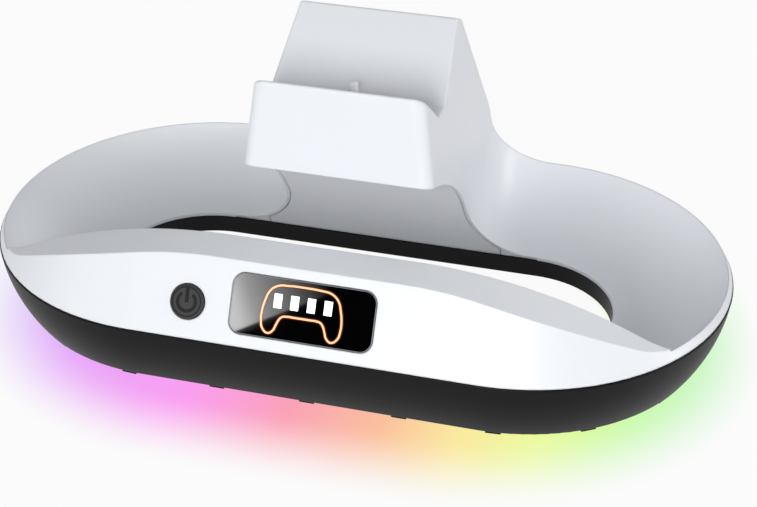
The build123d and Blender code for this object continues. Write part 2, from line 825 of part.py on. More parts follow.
# Display: a smoked lens with its lit marks let into it, and the light box behind
with BuildSketch() as icon_outline:
    with BuildLine():
        Polyline(
            (0, icon_top),
            (icon_shoulder, icon_top),
            (icon_half, -icon_grip_bulge),
            (icon_grip_outer, -icon_drop),
            (icon_grip_inner, -icon_drop),
            (icon_waist_half, -icon_waist),
            (0, -icon_waist),
            (0, icon_top),
        )
    make_face()
    corners = icon_outline.vertices().sort_by(Axis.Y)
    fillet(corners.filter_by(lambda v: v.Y < -icon_waist - icon_grip_round), icon_grip_round)
    fillet(icon_outline.vertices().sort_by_distance((icon_waist_half, -icon_waist))[0], icon_waist_round)
    fillet(icon_outline.vertices().sort_by_distance((icon_shoulder, icon_top))[0], icon_shoulder_round)
    mirror(about=Plane.YZ)
    offset(amount=-icon_line, mode=Mode.SUBTRACT)

with BuildSketch() as level_bars:
    with Locations((0, bar_rise)):
        with GridLocations(bar_pitch, bar_height, bar_count, 1):
            Rectangle(bar_width, bar_height)

display_face = Plane(fascia.from_local_coords((0, display_rise, 0)), x_dir=fascia.x_dir, z_dir=fascia.z_dir)
with BuildPart() as display_lens:
    with BuildSketch(display_face):
        RectangleRounded(
            display_width - 2 * lens_gap, display_height - 2 * lens_gap, display_corner - lens_gap
        )
    extrude(amount=-shell_wall)
    extrude(display_face * icon_outline.sketch, amount=-icon_depth, mode=Mode.SUBTRACT)
    extrude(display_face * level_bars.sketch, amount=-bar_depth, mode=Mode.SUBTRACT)
display_lens.part.label = "display_lens"
export_step(display_lens.part, "parts/display_lens.step")

with BuildPart() as icon_light_guide:
    extrude(display_face * icon_outline.sketch, amount=-icon_depth)
icon_light_guide.part.label = "icon_light_guide"
export_step(icon_light_guide.part, "parts/icon_light_guide.step")

with BuildPart() as display_bars:
    extrude(display_face * level_bars.sketch, amount=-bar_depth)
display_bars.part.label = "display_bars"
export_step(display_bars.part, "parts/display_bars.step")

light_box_width = display_width + 2 * light_box_margin
light_box_height = display_height + 2 * light_box_margin
with BuildPart() as display_light_box:
    with BuildSketch(display_face.offset(-shell_wall)):
        Rectangle(light_box_width, light_box_height)
    extrude(amount=-(front_board_depth - shell_wall))
    with BuildSketch(display_face.offset(-front_board_depth)):
        Rectangle(light_box_width - 2 * light_box_wall, light_box_height - 2 * light_box_wall)
    extrude(amount=front_board_depth - shell_wall - light_box_wall, mode=Mode.SUBTRACT)
    box_front = display_face.offset(-shell_wall)
    extrude(box_front * level_bars.sketch, amount=-2 * light_box_wall, mode=Mode.SUBTRACT)
display_light_box.part.label = "display_light_box"
export_step(display_light_box.part, "parts/display_light_box.step")

# Power button, the switch behind it and the front board
button_back = shell_wall + button_flange_gap + button_flange_thickness
switch_front = front_board_depth - switch_body
with BuildPart() as power_button:
    with BuildSketch(fascia.offset(button_proud)):
        with Locations((button_x, button_rise)):
            Circle(button_radius)
    extrude(amount=-(button_proud + button_back))
    fillet(power_button.edges().filter_by(GeomType.CIRCLE).sort_by(Axis.Y)[0], button_round)
    with BuildSketch(fascia_depth(shell_wall + button_flange_gap)):
        with Locations((button_x, button_rise)):
            Circle(button_radius + button_flange)
    extrude(amount=-button_flange_thickness)
power_button.part.label = "power_button"
export_step(power_button.part, "parts/power_button.step")

with BuildPart() as switch_stem:
    with BuildSketch(fascia_depth(button_back)):
        with Locations((button_x, button_rise)):
            Circle(switch_stem_radius)
    extrude(amount=-(switch_front - button_back + switch_stem_engage))
switch_stem.part.label = "switch_stem"
export_step(switch_stem.part, "parts/switch_stem.step")

with BuildPart() as tact_switch:
    with BuildSketch(fascia_depth(front_board_depth)):
        with Locations((button_x, button_rise)):
            Rectangle(switch_side, switch_side)
    extrude(amount=switch_body)
    with BuildSketch(fascia_depth(switch_front)):
        with Locations((button_x, button_rise)):
            Circle(switch_stem_radius + button_gap)
    extrude(amount=-(switch_stem_engage + button_travel + button_gap), mode=Mode.SUBTRACT)
tact_switch.part.label = "tact_switch"
export_step(tact_switch.part, "parts/tact_switch.step")

front_board_back = front_board_depth + board_thickness
with BuildPart() as front_board:
    with BuildSketch(fascia_depth(front_board_depth)):
        with Locations((0, front_board_foot + front_board_height / 2)):
            Rectangle(2 * front_board_half, front_board_height)
        with Locations(*front_boss_points):
            Circle(board_screw_radius + fit_gap, mode=Mode.SUBTRACT)
    extrude(amount=-board_thickness)
front_board.part.label = "front_board"
export_step(front_board.part, "parts/front_board.step")

with BuildPart() as board_chips:
    with BuildSketch(fascia_depth(front_board_back)):
        for x, rise, side in chips:
            with Locations((x, rise)):
                Rectangle(side, side)
    extrude(amount=-chip_height)
board_chips.part.label = "board_chips"
export_step(board_chips.part, "parts/board_chips.step")

# Inlet board with its socket
inlet_board_top = inlet_board_foot + board_thickness
with BuildPart() as inlet_board:
    with BuildSketch(Plane.XY.offset(inlet_board_foot)):
        with Locations((0, (inlet_board_front + inlet_board_back) / 2)):
            Rectangle(2 * inlet_board_half, inlet_board_back - inlet_board_front)
        with Locations(*inlet_post_points):
            Circle(board_screw_radius + fit_gap, mode=Mode.SUBTRACT)
    extrude(amount=board_thickness)
inlet_board.part.label = "inlet_board"
export_step(inlet_board.part, "parts/inlet_board.step")

with BuildPart() as usb_c_socket:
    with BuildSketch(Plane.XZ.offset(-port_mouth)):
        with Locations((0, port_height)):
            SlotOverall(port_width, port_thick)
    extrude(amount=port_length)
    with BuildSketch(Plane.XZ.offset(-port_mouth)):
        with Locations((0, port_height)):
            SlotOverall(port_width - 2 * port_wall, port_thick - 2 * port_wall)
            Rectangle(port_width - port_thick, port_tongue, mode=Mode.SUBTRACT)
    extrude(amount=port_length - port_back, mode=Mode.SUBTRACT)
usb_c_socket.part.label = "usb_c_socket"
export_step(usb_c_socket.part, "parts/usb_c_socket.step")

# Underglow: diffuser channel over the windows, closed by the strip with its lamps
with BuildSketch() as channel_section:
    with Locations((light_track, plate_top)):
        Rectangle(channel_width, channel_height, align=(Align.CENTER, Align.MIN))
    with Locations((light_track, plate_top + channel_wall)):
        Rectangle(
            channel_width - 2 * channel_wall,
            channel_height,
            align=(Align.CENTER, Align.MIN),
            mode=Mode.SUBTRACT,
        )
with BuildPart() as diffuser_ring:
    racetrack(channel_section.sketch)
diffuser_ring.part.label = "diffuser_ring"
export_step(diffuser_ring.part, "parts/diffuser_ring.step")

channel_top = plate_top + channel_height
with BuildSketch() as strip_section:
    with Locations((light_track, channel_top)):
        Rectangle(channel_width, strip_thickness, align=(Align.CENTER, Align.MIN))
with BuildPart() as light_strip_board:
    racetrack(strip_section.sketch)
light_strip_board.part.label = "light_strip_board"
export_step(light_strip_board.part, "parts/light_strip_board.step")

with BuildPart() as light_strip_leds:
    with Locations(*track_locations(light_track, channel_top, bridge_count, 0.5)):
        Box(lamp_length, lamp_width, lamp_height, align=(Align.CENTER, Align.CENTER, Align.MAX))
light_strip_leds.part.label = "light_strip_leds"
export_step(light_strip_leds.part, "parts/light_strip_leds.step")

with BuildPart() as rubber_feet:
    with Locations(*[(x, y, 0) for x, y in foot_points]):
        Cylinder(foot_radius, floor_gap + foot_recess, align=(Align.CENTER, Align.CENTER, Align.MIN))
    fillet(rubber_feet.edges().group_by(Axis.Z)[0], foot_round)
rubber_feet.part.label = "rubber_feet"
export_step(rubber_feet.part, "parts/rubber_feet.step")

# Screws
with BuildPart() as case_screws:
    with BuildSketch(Plane.XY.offset(case_seat)):
        with Locations(*case_screw_points):
            Circle(case_screw_head)
    extrude(amount=-case_screw_head_height)
    with BuildSketch(Plane.XY.offset(case_seat)):
        with Locations(*case_screw_points):
            Circle(case_screw_radius)
    extrude(amount=case_screw_length - case_screw_head_height)
    with BuildSketch(Plane.XY.offset(case_seat - case_screw_head_height)):
        with Locations(*case_screw_points):
            Rectangle(drive_width, drive_slot)
            Rectangle(drive_slot, drive_width)
    extrude(amount=drive_depth, mode=Mode.SUBTRACT)
case_screws.part.label = "case_screws"
export_step(case_screws.part, "parts/case_screws.step")

with BuildPart() as board_screws:
    with BuildSketch(fascia_depth(front_board_back)):
        with Locations(*front_boss_points):
            Circle(board_screw_head)
    extrude(amount=-board_screw_head_height)
    with BuildSketch(fascia_depth(front_board_back)):
        with Locations(*front_boss_points):
            Circle(board_screw_radius)
    extrude(amount=board_screw_length)
    with BuildSketch(Plane.XY.offset(inlet_board_top)):
        with Locations(*inlet_post_points):
            Circle(board_screw_head)
    extrude(amount=board_screw_head_height)
    with BuildSketch(Plane.XY.offset(inlet_board_top)):
        with Locations(*inlet_post_points):
            Circle(board_screw_radius)
    extrude(amount=-board_screw_length)
board_screws.part.label = "board_screws"
export_step(board_screws.part, "parts/board_screws.step")

# Leads
with BuildPart() as contact_lead:
    with BuildLine() as contact_path:
        Spline(
            (lead_x, 0, contact_board_foot),
            (lead_x, lead_high_y, lead_high_z),
            (lead_x, lead_low_y, lead_low_z),
            (lead_x, inlet_board_front + lead_foot_inset, inlet_board_top),
            tangents=[(0, 0, -1), (0, 0, -1)],
        )
    with BuildSketch(Plane((lead_x, 0, contact_board_foot), z_dir=(0, 0, -1))):
        Circle(lead_radius)
    sweep(path=contact_path.wire())
contact_lead.part.label = "contact_lead"
export_step(contact_lead.part, "parts/contact_lead.step")

front_lead_end = fascia_depth(front_board_back).from_local_coords((-front_lead_x, front_lead_rise, 0))
with BuildPart() as front_lead:
    with BuildLine() as front_path:
        dip = Spline(
            (-inlet_board_half, lead_track, inlet_board_top - board_thickness / 2),
            (-inlet_board_half - lead_dip_run, lead_track, lead_height + lead_dip_rise),
            (-inlet_board_half - lead_dip_end, lead_track, lead_height),
            tangents=[(-1, 0, 0), (-1, 0, 0)],
        )
        run = Line(dip @ 1, (-half_straight, lead_track, lead_height))
        turn = ThreePointArc(
            run @ 1,
            (-half_straight - lead_track, 0, lead_height),
            (-half_straight, -lead_track, lead_height),
        )
        Spline(
            turn @ 1,
            (-front_lead_x - lead_climb_shift, lead_climb_shift - lead_track, lead_height + lead_climb),
            front_lead_end,
            tangents=[(1, 0, 0), tuple(fascia.z_dir)],
        )
    with BuildSketch(Plane(dip @ 0, z_dir=(-1, 0, 0))):
        Circle(lead_radius)
    sweep(path=front_path.wire())
front_lead.part.label = "front_lead"
export_step(front_lead.part, "parts/front_lead.step")
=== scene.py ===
import json
import logging
from dataclasses import dataclass, field
from enum import Enum
from math import cos, radians, sin
from typing import Any, Optional, Sequence

import bmesh
import bpy
from mathutils import Matrix, Vector


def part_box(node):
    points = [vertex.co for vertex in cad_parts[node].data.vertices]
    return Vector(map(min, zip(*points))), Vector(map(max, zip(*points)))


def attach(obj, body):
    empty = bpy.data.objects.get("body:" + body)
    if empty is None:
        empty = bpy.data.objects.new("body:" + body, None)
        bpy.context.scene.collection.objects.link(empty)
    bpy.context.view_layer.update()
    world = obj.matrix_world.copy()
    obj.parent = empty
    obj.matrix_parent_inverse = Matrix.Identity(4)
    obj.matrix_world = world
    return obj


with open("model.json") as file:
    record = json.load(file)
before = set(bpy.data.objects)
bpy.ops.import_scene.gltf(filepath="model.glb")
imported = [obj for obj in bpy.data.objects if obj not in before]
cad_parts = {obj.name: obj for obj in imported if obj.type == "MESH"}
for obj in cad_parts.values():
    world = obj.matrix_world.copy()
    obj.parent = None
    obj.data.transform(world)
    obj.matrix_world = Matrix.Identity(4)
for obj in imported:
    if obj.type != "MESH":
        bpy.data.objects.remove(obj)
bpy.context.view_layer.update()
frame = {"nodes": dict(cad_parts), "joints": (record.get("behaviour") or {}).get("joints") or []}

log = logging.getLogger("charging_dock")

MM = 0.001
PHOTO_WIDTH = 757
# Octaves and roughness of the noise in moulded skins, and rays of their softened edges.
DRIFT_DETAIL = 2.0
GRAIN_DETAIL = 3.0
GRAIN_ROUGHNESS = 0.6
EDGE_SAMPLES = 6
# Rows in one unit of the brick pattern.
BRICK_ROWS = 4

Colour = tuple[float, float, float, float]
Point = tuple[float, float, float]


def linear(hex_colour: str, alpha: float = 1.0) -> Colour:
    """Turn an sRGB hex colour into linear light.

    Args:
        hex_colour: Six hex digits with a leading hash sign.
        alpha: Opacity carried along unchanged.

    Returns:
        Red, green, blue and alpha, ready for a shader socket.
    """
    channels = [int(hex_colour[i : i + 2], 16) / 255 for i in (1, 3, 5)]
    light = [c / 12.92 if c <= 0.04045 else ((c + 0.055) / 1.055) ** 2.4 for c in channels]
    return (light[0], light[1], light[2], alpha)


def add_node(
    tree: bpy.types.NodeTree, kind: str, settings: Optional[dict[Any, Any]] = None, **links: Any
) -> Any:
    """Add a node to a tree, set it up and link its inputs.

    Args:
        tree: The shader or geometry tree.
        kind: Blender's name of the node type.
        settings: Attributes of the node, or values of its inputs by name or index.
        **links: Input name, with underscores for spaces, to the output socket that feeds it.

    Returns:
        The new node.
    """
    node = tree.nodes.new(kind)
    for name, value in (settings or {}).items():
        if isinstance(name, str) and hasattr(node, name):
            setattr(node, name, value)
        else:
            node.inputs[name].default_value = value
    for name, source in links.items():
        key = int(name[1:]) if name[0] == "i" and name[1:].isdigit() else name.replace("_", " ")
        tree.links.new(source, node.inputs[key])
    return node


def fill_ramp(ramp: Any, stops: Sequence[tuple[float, Colour]]) -> None:
    """Set the stops of a colour ramp.

    Args:
        ramp: The ramp's node.
        stops: Place and colour of each stop, from left to right.
    """
    marks = ramp.color_ramp.elements
    while len(marks) < len(stops):
        marks.new(1.0)
    for mark, (at, colour) in zip(marks, stops):
        mark.position = at
        mark.color = colour


class Grain(Enum):
    """How a moulded surface was finished in the tool, by the size of its grain in millimetres."""

    SPARKED = 0.55
    FINE = 0.35
    POLISHED = 0.0


@dataclass(frozen=True)
class MouldedPlastic:
    """Injection-moulded plastic: one body colour, a satin or polished skin and a faint tool grain.

    Attributes:
        name: Name of the material.
        colour: Body colour as sRGB hex.
        roughness: Typical roughness of the skin.
        grain: Tool grain; its scale is drawn coarse enough to show in the render.
        relief: Height of the grain in millimetres.
        edge_round: Radius that softens the look of sharp edges, in millimetres.
        coat: Weight of a clear gloss layer.
        ior: Index of refraction.
        specular: Level of the mirror share, 0.5 being the full one for that index.
        cloud: Size of the slow drift in roughness, in millimetres.
        spread: How far the roughness drifts.
        bite: Strength of the grain's bump.
    """

    name: str
    colour: str
    roughness: float
    grain: Grain = Grain.SPARKED
    relief: float = 0.012
    edge_round: float = 0.5
    coat: float = 0.0
    ior: float = 1.53
    specular: float = 0.5
    cloud: float = 18.0
    spread: float = 0.03
    bite: float = 0.35

    def build(self) -> bpy.types.Material:
        """Build the material.

        Returns:
            The material, with grain in its bump and a slow drift in its roughness.
        """
        material, tree, shader = blank_material(self.name)
        shader.inputs["Base Color"].default_value = linear(self.colour)
        shader.inputs["IOR"].default_value = self.ior
        shader.inputs["Coat Weight"].default_value = self.coat
        shader.inputs["Specular IOR Level"].default_value = self.specular
        shader.inputs["Roughness"].default_value = self.roughness
        place = add_node(tree, "ShaderNodeTexCoord").outputs["Object"]
        if self.grain is not Grain.POLISHED:
            drift = add_node(
                tree,
                "ShaderNodeTexNoise",
                {"Scale": 1 / (self.cloud * MM), "Detail": DRIFT_DETAIL},
                Vector=place,
            )
            spread = add_node(
                tree,
                "ShaderNodeMapRange",
                {"To Min": self.roughness - self.spread, "To Max": self.roughness + self.spread},
                Value=drift.outputs["Fac"],
            )
            tree.links.new(spread.outputs["Result"], shader.inputs["Roughness"])
            skin = add_node(
                tree,
                "ShaderNodeTexNoise",
                {
                    "Scale": 1 / (self.grain.value * MM),
                    "Detail": GRAIN_DETAIL,
                    "Roughness": GRAIN_ROUGHNESS,
                },
                Vector=place,
            )
            soft = add_node(
                tree, "ShaderNodeBevel", {"samples": EDGE_SAMPLES, "Radius": self.edge_round * MM}
            )
            bump = add_node(
                tree,
                "ShaderNodeBump",
                {"Strength": self.bite, "Distance": self.relief * MM},
                Height=skin.outputs["Fac"],
                Normal=soft.outputs["Normal"],
            )
            tree.links.new(bump.outputs["Normal"], shader.inputs["Normal"])
        return material


@dataclass(frozen=True)
class LitGuide:
    """Clear acrylic light guide, lit from behind; the same even light also serves as the dim halo
    painted on the smoked lens.

    Attributes:
        name: Name of the material.
        colour: Colour of its light as sRGB hex.
        strength: Strength of the light.
        body: Colour of the acrylic itself, or nothing where it is that of its light.
        roughness: Roughness of its skin.
    """

    name: str
    colour: str
    strength: float
    body: Optional[str] = None
    roughness: float = 0.12

    def build(self) -> bpy.types.Material:
        """Build the material.

        Returns:
            The material: a glossy skin over even light.
        """
        material, _, shader = blank_material(self.name)
        shader.inputs["Base Color"].default_value = linear(self.body or self.colour)
        shader.inputs["Roughness"].default_value = self.roughness
        shader.inputs["Emission Color"].default_value = linear(self.colour)
        shader.inputs["Emission Strength"].default_value = self.strength
        return material


@dataclass(frozen=True)
class PlatedMetal:
    """Plated or plain metal with a fine drawn grain.

    Attributes:
        name: Name of the material.
        colour: Reflected colour as sRGB hex.
        roughness: Typical roughness.
        line: Spacing of the drawn lines in millimetres.
        stretch: Their scale along the drawing direction.
        spread: How far the roughness strays from the typical one.
    """

    name: str
    colour: str
    roughness: float
    line: float = 0.15
    stretch: float = 0.1
    spread: float = 0.08

    def build(self) -> bpy.types.Material:
        """Build the material.

        Returns:
            The material, with its roughness broken up along the drawing direction.
        """
        material, tree, shader = blank_material(self.name)
        shader.inputs["Base Color"].default_value = linear(self.colour)
        shader.inputs["Metallic"].default_value = 1.0
        place = add_node(tree, "ShaderNodeTexCoord").outputs["Object"]
        stretch = add_node(tree, "ShaderNodeMapping", {"Scale": (1.0, 1.0, self.stretch)}, Vector=place)
        lines = add_node(
            tree,
            "ShaderNodeTexNoise",
            {"Scale": 1 / (self.line * MM)},
            Vector=stretch.outputs["Vector"],
        )
        spread = add_node(
            tree,
            "ShaderNodeMapRange",
            {"To Min": self.roughness - self.spread, "To Max": self.roughness + self.spread},
            Value=lines.outputs["Fac"],
        )
        tree.links.new(spread.outputs["Result"], shader.inputs["Roughness"])
        return material


@dataclass(frozen=True)
class FrostedPolycarbonate:
    """Frosted polycarbonate: milky, lets light through and scatters it.

    Attributes:
        name: Name of the material.
        colour: Body colour as sRGB hex.
        transmission: Share of the light that passes.
        roughness: Roughness of the frosted skin.
        ior: Index of refraction.
    """

    name: str
    colour: str
    transmission: float
    roughness: float
    ior: float = 1.58

    def build(self) -> bpy.types.Material:
        """Build the material.

        Returns:
            The material, with a rough skin that lets part of the light through.
        """
        material, _, shader = blank_material(self.name)
        shader.inputs["Base Color"].default_value = linear(self.colour)
        shader.inputs["Roughness"].default_value = self.roughness
        shader.inputs["IOR"].default_value = self.ior
        shader.inputs["Transmission Weight"].default_value = self.transmission
        return material


@dataclass(frozen=True)
class GlassEpoxy:
    """Glass-epoxy board under green solder mask, with the mask's faint track pattern.

    Attributes:
        name: Name of the material.
        mask: Colour of the mask over bare board.
        copper: Colour of the mask over a track.
        pitch: Spacing of the rows of tracks in millimetres.
        track: Width of a track in millimetres.
        roughness: Roughness of the mask.
    """

    name: str
    mask: str
    copper: str
    pitch: float = 1.6
    track: float = 0.512
    roughness: float = 0.3

    def build(self) -> bpy.types.Material:
        """Build the material.

        Returns:
            The material, with tracks that show faintly through the mask.
        """
        material, tree, shader = blank_material(self.name)
        shader.inputs["Roughness"].default_value = self.roughness
        place = add_node(tree, "ShaderNodeTexCoord").outputs["Object"]
        unit = self.pitch * BRICK_ROWS
        tracks = add_node(
            tree,
            "ShaderNodeTexBrick",
            {"Scale": 1 / (unit * MM), "Mortar Size": self.track / 2 / unit},
            Vector=place,
        )
        tracks.inputs["Color1"].default_value = linear(self.mask)
        tracks.inputs["Color2"].default_value = linear(self.mask)
        tracks.inputs["Mortar"].default_value = linear(self.copper)
        tree.links.new(tracks.outputs["Color"], shader.inputs["Base Color"])
        return material


def blank_material(name: str) -> tuple[bpy.types.Material, bpy.types.NodeTree, Any]:
    """Make a node material with a plain Principled shader.

    Args:
        name: Name of the material.

    Returns:
        The material, its tree and its shader node.
    """
    material = bpy.data.materials.new(name)
    material.use_nodes = True
    tree = material.node_tree
    return material, tree, tree.nodes["Principled BSDF"]


@dataclass(frozen=True)
class ColouredLight:
    """The row of coloured lamps under the base, and the pool of their light painted on the floor.

    Attributes:
        stops: Place along the base, from 0 at its left end to 1 at its right, and the colour there.
        half_length: Half length of the base, in millimetres.
        half_straight: Half length of the straight run that the light keeps its distance from.
        inside: Distance from the centre line at which the light starts, under the base.
        edge: Distance from the centre line to the lit windows.
        outside: Distance at which the light has faded.
        depth: Share of the floor's white that the light takes over at the windows.
        rise: Share of the way from the inside to the windows at which it has risen to that.
        fall: Share of that way at which it starts to fade.
        floor: Colour of the unlit floor.
    """

    stops: tuple[tuple[float, str], ...] = (
        (0.0, "#C6A6FF"),
        (0.16, "#E06CFF"),
        (0.34, "#FF50F2"),
        (0.48, "#FF5A8C"),
        (0.6, "#FFA04C"),
        (0.7, "#FFE652"),
        (0.8, "#E6FF50"),
        (0.9, "#A8FF50"),
        (1.0, "#74F55C"),
    )
    half_length: float = 90.0
    half_straight: float = 29.0
    inside: float = 30.0
    edge: float = 44.0
    outside: float = 72.0
    depth: float = 0.7
    rise: float = 0.7
    fall: float = 1.1
    floor: str = "#FFFFFF"

    def colour(self, tree: bpy.types.NodeTree, place: Any) -> Any:
        """Blend the lamps' colours along the base.

        Args:
            tree: The shader tree.
            place: Output socket with the place on the object.

        Returns:
            Output socket with the colour.
        """
        along = add_node(tree, "ShaderNodeSeparateXYZ", Vector=place).outputs["X"]
        span = add_node(
            tree,
            "ShaderNodeMapRange",
            {"From Min": -self.half_length * MM, "From Max": self.half_length * MM},
            Value=along,
        )
        ramp = add_node(tree, "ShaderNodeValToRGB", Fac=span.outputs["Result"])
        fill_ramp(ramp, [(at, linear(colour)) for at, colour in self.stops])
        return ramp.outputs["Color"]

    def pool(self, tree: bpy.types.NodeTree) -> Any:
        """Paint the pool of the lamps' light into the floor's white round the base, for camera rays
        only.

        Args:
            tree: The floor's shader tree.

        Returns:
            Output socket with the floor's colour and the painted pool of light.
        """
        place = add_node(tree, "ShaderNodeTexCoord").outputs["Object"]
        size = add_node(tree, "ShaderNodeVectorMath", {"operation": "ABSOLUTE"}, i0=place)
        bent = add_node(
            tree,
            "ShaderNodeVectorMath",
            {"operation": "SUBTRACT", 1: (self.half_straight * MM, 0.0, 0.0)},
            i0=size.outputs["Vector"],
        )
        kept = add_node(
            tree,
            "ShaderNodeVectorMath",
            {"operation": "MAXIMUM", 1: (0.0, 0.0, 0.0)},
            i0=bent.outputs["Vector"],
        )
        away = add_node(
            tree, "ShaderNodeVectorMath", {"operation": "LENGTH"}, i0=kept.outputs["Vector"]
        )
        span = add_node(
            tree,
            "ShaderNodeMapRange",
            {"From Min": self.inside * MM, "From Max": self.outside * MM},
            Value=away.outputs["Value"],
        )
        # Painted pool of light: strongest just outside the lit windows, fading away from the base.
        fade = add_node(tree, "ShaderNodeValToRGB", Fac=span.outputs["Result"])
        fade.color_ramp.interpolation = "EASE"
        crest = (self.edge - self.inside) / (self.outside - self.inside)
        rise, fall = crest * self.rise, crest * self.fall
        shares = ((0.0, 0.0), (rise, self.depth), (fall, self.depth), (1.0, 0.0))
        fill_ramp(fade, [(at, (share, share, share, 1.0)) for at, share in shares])
        seen = add_node(tree, "ShaderNodeLightPath").outputs["Is Camera Ray"]
        share = add_node(
            tree, "ShaderNodeMath", {"operation": "MULTIPLY"}, i0=fade.outputs["Color"], i1=seen
        )
        mix = add_node(
            tree,
            "ShaderNodeMix",
            {"data_type": "RGBA", 6: linear(self.floor)},
            i0=share.outputs["Value"],
            i7=self.colour(tree, place),
        )
        return mix.outputs[2]


@dataclass(frozen=True)
class LitDiffuser:
    """Frosted polycarbonate channel, lit from within by the coloured lamps.

    Attributes:
        name: Name of the material.
        strength: Strength of the light.
        roughness: Roughness of the frosted skin.
    """

    name: str
    strength: float
    roughness: float = 0.5

    def build(self) -> bpy.types.Material:
        """Build the material.

        Returns:
            The material: milky, with light that changes colour along the base.
        """
        material, tree, shader = blank_material(self.name)
        shader.inputs["Roughness"].default_value = self.roughness
        place = add_node(tree, "ShaderNodeTexCoord").outputs["Object"]
        colour = UNDERGLOW.colour(tree, place)
        tree.links.new(colour, shader.inputs["Base Color"])
        tree.links.new(colour, shader.inputs["Emission Color"])
        shader.inputs["Emission Strength"].default_value = self.strength
        return material


UNDERGLOW = ColouredLight()
# Milky channel over coloured lamps: an even glow whose colour drifts along the base.
GLOW_CHANNEL = LitDiffuser("lit_frosted_polycarbonate", 1.5)
# White ABS from a spark-eroded tool: soft, wide highlights.
# Its real grain is too fine to show, so it is drawn coarser.
WHITE_ABS = MouldedPlastic("satin_white_abs", "#EDEFF3", 0.36)
# Black ABS from the same kind of tool: little mirror share, so it stays dark beside a white floor.
BLACK_ABS = MouldedPlastic("satin_black_abs", "#0E0E0F", 0.45, edge_round=0.4, specular=0.12)
# Matt charcoal ABS with a fine grain: a flat grey face.
BUTTON_ABS = MouldedPlastic(
    "matt_charcoal_abs", "#323233", 0.5, Grain.FINE, edge_round=0.3, specular=0.3
)
# Polished smoked acrylic: black in itself, with a clear mirror image of the softbox.
SMOKED_ACRYLIC = MouldedPlastic(
    "polished_smoked_acrylic", "#030304", 0.015, Grain.POLISHED, coat=0.6, ior=1.49
)
# Black nylon, epoxy and PVC of the inner parts: dull dark greys.
NYLON = MouldedPlastic("moulded_black_nylon", "#2A2B2E", 0.55, Grain.FINE, edge_round=0.15)
EPOXY = MouldedPlastic("moulded_epoxy", "#141415", 0.5, Grain.FINE, edge_round=0.1)
SLEEVE = MouldedPlastic("pvc_sleeve", "#1A1A1C", 0.45, Grain.FINE, edge_round=0.1)
# Silicone rubber: no shine, and a grain that is deeper than the plastics'.
RUBBER = MouldedPlastic("moulded_silicone_rubber", "#1B1B1C", 0.8, Grain.SPARKED, 0.03, 0.3)
# Pad-printed ink: a thin dark skin on the button, for the symbol and for the band of painted shade round
# its edge.
INK_AND_PAINTED_SHADE = MouldedPlastic(
    "pad_printed_ink_and_painted_shade", "#0A0A0B", 0.4, Grain.FINE, edge_round=0.02, specular=0.2
)
# Polished edge of the acrylic: a real bead whose grey colour paints its highlight as a thin light line.
LENS_EDGE_PAINTED_HIGHLIGHT = MouldedPlastic(
    "acrylic_edge_painted_highlight", "#7C7E82", 0.15, Grain.FINE, 0.004, 0.05, ior=1.49
)
# Acrylic guides over lamps: even light. Beside the icon's guide, a dim orange glow painted on the smoked
# lens as its halo.
ORANGE_GUIDE = LitGuide("lit_orange_acrylic", "#E8AC80", 0.8)
ORANGE_PAINTED_HALO = LitGuide("painted_halo_on_smoked_acrylic", "#A8501C", 0.2, "#050404", 0.02)
WHITE_GUIDE = LitGuide("lit_white_acrylic", "#FFFFFF", 1.1)
# Phosphor of the lamps on the strip: a warm white spot.
PHOSPHOR = LitGuide("lit_phosphor", "#FFE9C4", 1.0)
# Turned brass under gold plate, and drawn steel: streaky highlights along the drawing direction.
GOLD = PlatedMetal("gold_plated_brass", "#D8B469", 0.28)
STEEL = PlatedMetal("drawn_steel", "#B9BCC0", 0.32)
# Frosted polycarbonate of the peg: whiter than the shell, with a little light passing.
PEG = FrostedPolycarbonate("frosted_polycarbonate", "#FFFFFF", 0.12, 0.18)
# Glass-epoxy board under solder mask: green, with paler lines where copper lies under it.
BOARD = GlassEpoxy("glass_epoxy_board", "#0C5A31", "#1E8048")

Finish = MouldedPlastic | LitGuide | PlatedMetal | FrostedPolycarbonate | GlassEpoxy | LitDiffuser
CONTACT_PINS = ("contact_pin_1", "contact_pin_2", "contact_pin_3", "contact_pin_4")


@dataclass
class Dressing:
    """The finish of every solid that keeps its own shape.

    Attributes:
        finishes: Finish to the nodes that wear it.
    """

    finishes: dict[Finish, Sequence[str]] = field(
        default_factory=lambda: {
            WHITE_ABS: ("upper_shell", "neck_front_panel"),
            BLACK_ABS: ("lower_shell",),
            BUTTON_ABS: ("power_button",),
            SMOKED_ACRYLIC: ("display_lens", "icon_light_guide"),
            NYLON: ("contact_carrier", "display_light_box", "switch_stem"),
            EPOXY: ("board_chips", "tact_switch"),
            SLEEVE: ("contact_lead", "front_lead"),
            RUBBER: ("rubber_feet",),
            WHITE_GUIDE: ("display_bars",),
            PHOSPHOR: ("light_strip_leds",),
            GOLD: (*CONTACT_PINS, "contact_barrels"),
            STEEL: ("usb_c_socket", "case_screws", "board_screws"),
            PEG: ("guide_peg",),
            GLOW_CHANNEL: ("diffuser_ring",),
            BOARD: ("contact_board", "front_board", "inlet_board", "light_strip_board"),
        }
    )

    def dress(self) -> None:
        """Give each solid its material."""
        for finish, nodes in self.finishes.items():
            material = finish.build()
            for node in nodes:
                wear(frame["nodes"][node], material)
            log.info("%s on %s", finish.name, ", ".join(nodes))


def wear(piece: bpy.types.Object, material: bpy.types.Material) -> None:
    """Put one material on a whole piece.

    Args:
        piece: A mesh object.
        material: Its material.
    """
    slots = piece.data.materials
    if not slots:
        slots.append(material)
    for index in range(len(slots)):
        slots[index] = material


